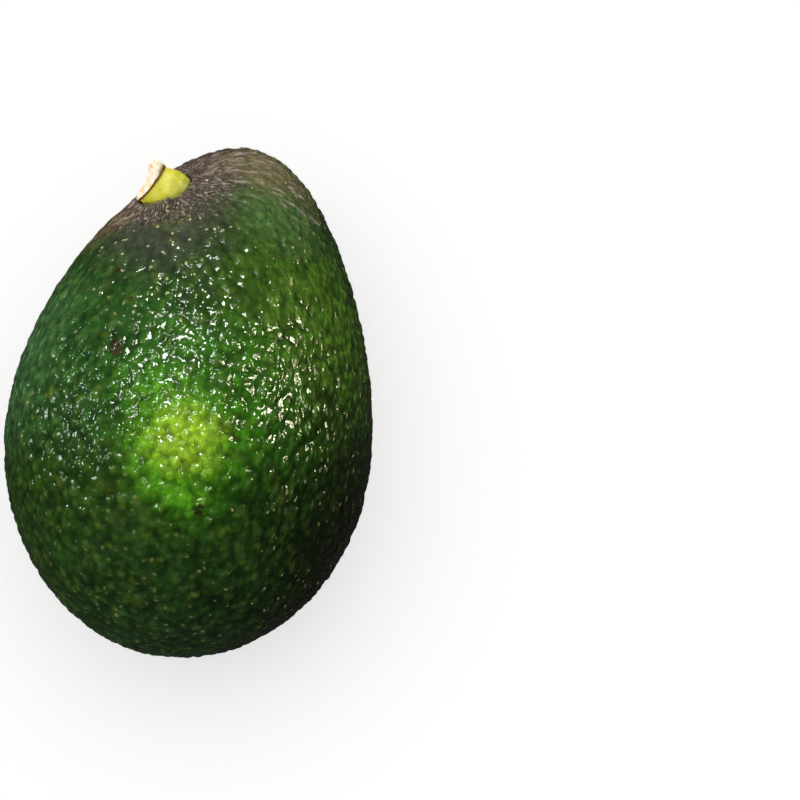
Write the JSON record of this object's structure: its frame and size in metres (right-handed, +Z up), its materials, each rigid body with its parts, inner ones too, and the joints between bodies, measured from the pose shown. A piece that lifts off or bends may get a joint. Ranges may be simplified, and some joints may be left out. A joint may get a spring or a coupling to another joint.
{
  "type": "avocado",
  "caption": "Whole avocado lying on its side: an egg-shaped fruit with a slimmer, leaning neck, a dark green pebbled skin and the short cut stub of its stem.",
  "frame": {"origin": "on the surface that the fruit rests on, under the middle of the bounding box", "axes": "+Z up, +Y along the fruit from the blossom end to the neck and stem"},
  "size_m": [0.0692, 0.1016, 0.0677],
  "materials": {
    "fruit_skin": "waxy, glossy, pebbled dark green skin, yellow-green on the pebbles' tips and purple-brown round the stem",
    "stem_stub": "fresh yellow-green stalk with a dry, pale tan cut face and a brown rim"
  },
  "bodies": {
    "root": {"fruit": "fruit_skin", "stem": "stem_stub"}
  },
  "joints": []
}
